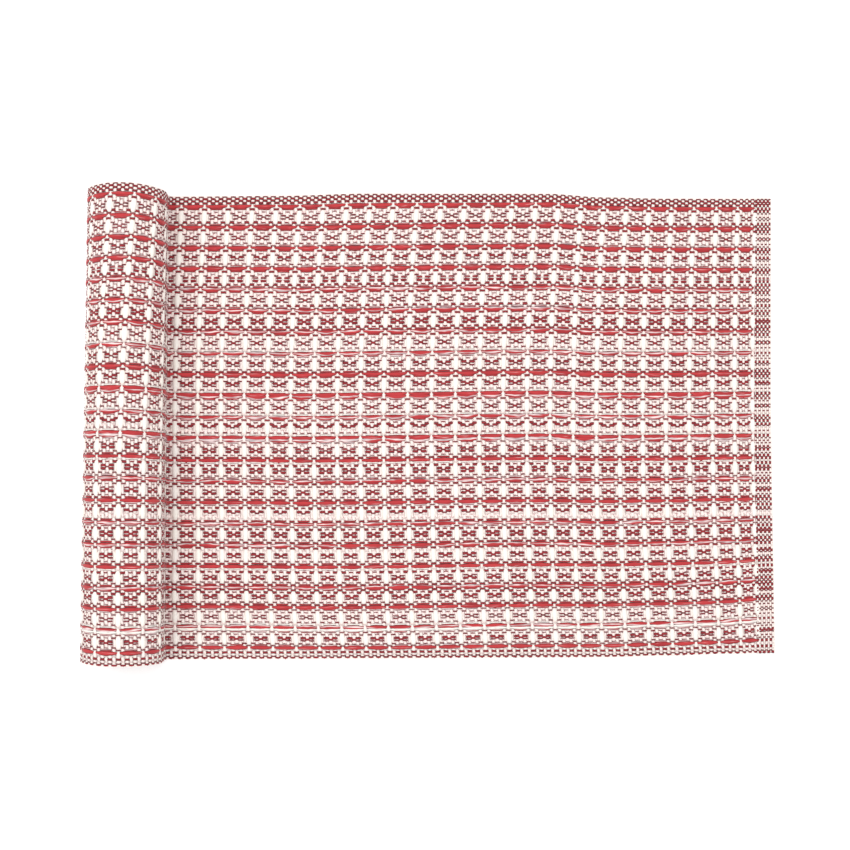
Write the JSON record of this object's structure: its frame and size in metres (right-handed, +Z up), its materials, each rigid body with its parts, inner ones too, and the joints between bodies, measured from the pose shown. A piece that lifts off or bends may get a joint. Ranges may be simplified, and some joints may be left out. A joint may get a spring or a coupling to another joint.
{
  "type": "table runner, rolled at one end",
  "caption": "Woven waffle cotton table runner lying flat with its far part rolled under, hemmed at the open end.",
  "frame": {"origin": "centre of the bounding box, at table height", "axes": "+X along the runner from the roll towards the hemmed end, +Y across it, +Z up"},
  "size_m": [0.4884, 0.3328, 0.0544],
  "materials": {
    "woven_cloth": "matte waffle weave of red and natural cotton yarns",
    "red_yarn": "matte dyed cotton yarn, loose parallel strands",
    "natural_yarn": "matte unbleached cotton yarn, thick and soft"
  },
  "bodies": {
    "root": {"runner": "woven_cloth"}
  },
  "joints": []
}
